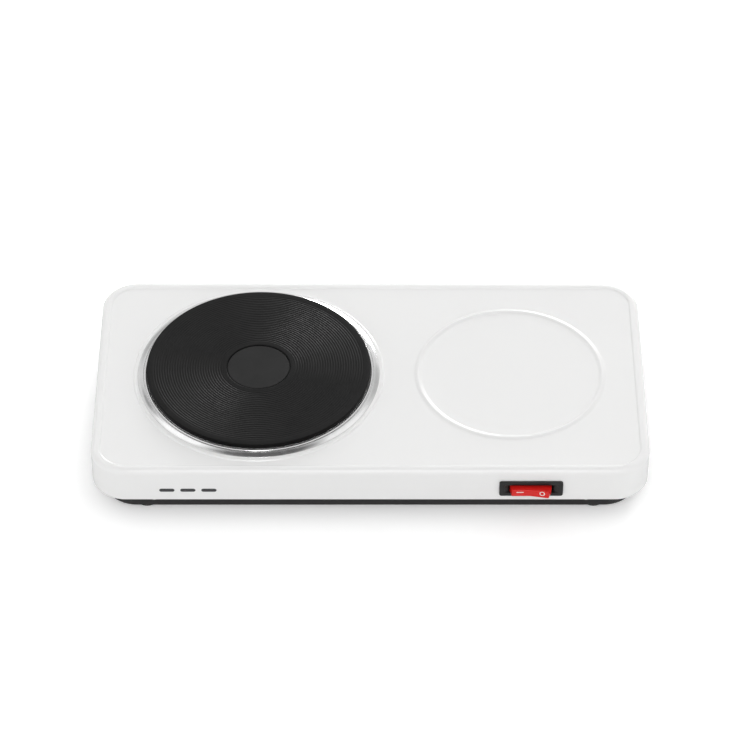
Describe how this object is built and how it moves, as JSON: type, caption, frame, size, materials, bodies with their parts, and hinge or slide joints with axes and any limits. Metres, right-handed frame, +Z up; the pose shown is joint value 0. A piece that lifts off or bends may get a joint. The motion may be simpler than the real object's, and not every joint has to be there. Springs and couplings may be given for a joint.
{
  "type": "hot plate burner",
  "caption": "Tabletop electric hot plate: low white steel body on a black tray, cast-iron plate in a bright spill ring, raised rest ring and a red rocker switch.",
  "frame": {"origin": "on the surface it stands on, under the middle of the body", "axes": "+X to the user's right along the body, +Y to the back, +Z up; the switch is on the -Y side"},
  "size_m": [0.44, 0.2386, 0.058],
  "materials": {
    "white_enamel": "glossy white baked enamel on pressed steel",
    "black_paint": "satin black paint on pressed steel",
    "cast_iron": "coated cast iron with fine turned rings",
    "stainless": "polished stainless steel",
    "zinc_steel": "zinc-plated steel",
    "aluminised": "bright aluminised sheet",
    "nichrome": "oxidised resistance wire, wound as a coil",
    "brass": "bare brass",
    "copper": "bare copper alloy strip",
    "ceramic": "unglazed steatite",
    "rubber": "matt black rubber",
    "black_plastic": "moulded black nylon",
    "red_rocker": "glossy red moulded plastic",
    "lamp_glass": "clear glass neon lamp",
    "brown_lead": "silicone-insulated lead",
    "blue_lead": "silicone-insulated lead",
    "green_lead": "silicone-insulated lead",
    "glass_sleeve": "lead in braided glass sleeving"
  },
  "bodies": {
    "base": {"housing": "white_enamel", "base_tray": "black_paint", "foot_front_left": "rubber", "foot_front_right": "rubber", "foot_rear_left": "rubber", "foot_rear_right": "rubber", "tray_screw_1": "zinc_steel", "tray_screw_2": "zinc_steel", "tray_screw_3": "zinc_steel", "tray_screw_4": "zinc_steel", "hotplate": "cast_iron", "spill_ring": "stainless", "coil_inner": "nichrome", "coil_outer": "nichrome", "coil_cement_inner": "ceramic", "coil_cement_outer": "ceramic", "plate_terminal_block": "ceramic", "terminal_block": "ceramic", "plate_cover": "zinc_steel", "clamp_bridge": "zinc_steel", "clamp_stud": "zinc_steel", "clamp_washer": "zinc_steel", "clamp_nut": "zinc_steel", "block_screw_left": "zinc_steel", "block_screw_right": "zinc_steel", "pole_screw_neutral": "zinc_steel", "pole_screw_line": "zinc_steel", "pole_screw_earth": "zinc_steel", "earth_stud": "zinc_steel", "earth_nut": "zinc_steel", "plate_blade_line": "brass", "plate_blade_neutral": "brass", "cutout_blade_in": "brass", "cutout_blade_out": "brass", "switch_tab_line": "brass", "switch_tab_load": "brass", "switch_tab_lamp": "brass", "tab_sleeve_line": "brass", "tab_sleeve_load": "brass", "tab_sleeve_lamp": "brass", "pole_clamp_neutral": "brass", "pole_clamp_line": "brass", "pole_clamp_earth": "brass", "earth_lug": "brass", "thermal_cutout": "black_plastic", "switch_housing": "black_plastic", "cord_gland": "black_plastic", "gland_nut": "black_plastic", "heat_shield": "aluminised", "switch_lamp": "lamp_glass", "lead_line": "brown_lead", "lead_lamp": "blue_lead", "lead_earth": "green_lead", "lead_switched": "glass_sleeve", "lead_link": "glass_sleeve", "lead_neutral": "glass_sleeve"},
    "rocker": {"switch_rocker": "red_rocker", "rocker_plunger": "zinc_steel", "plunger_spring": "zinc_steel"},
    "lever": {"contact_lever": "copper"}
  },
  "joints": [
    {"name": "rocker_tilt", "type": "hinge", "parent": "base", "child": "rocker", "pos_m": [0.1262, -0.1078, 0.0331], "axis": [0, 0, 1], "range_deg": [0, 10]},
    {"name": "contact_lever_tilt", "type": "hinge", "parent": "base", "child": "lever", "pos_m": [0.1262, -0.0983, 0.0331], "axis": [0, 0, 1], "range_deg": [-16, 0]}
  ],
  "couplings": [
    {"joint": "contact_lever_tilt", "follows": "rocker_tilt", "ratio": -1.6}
  ]
}
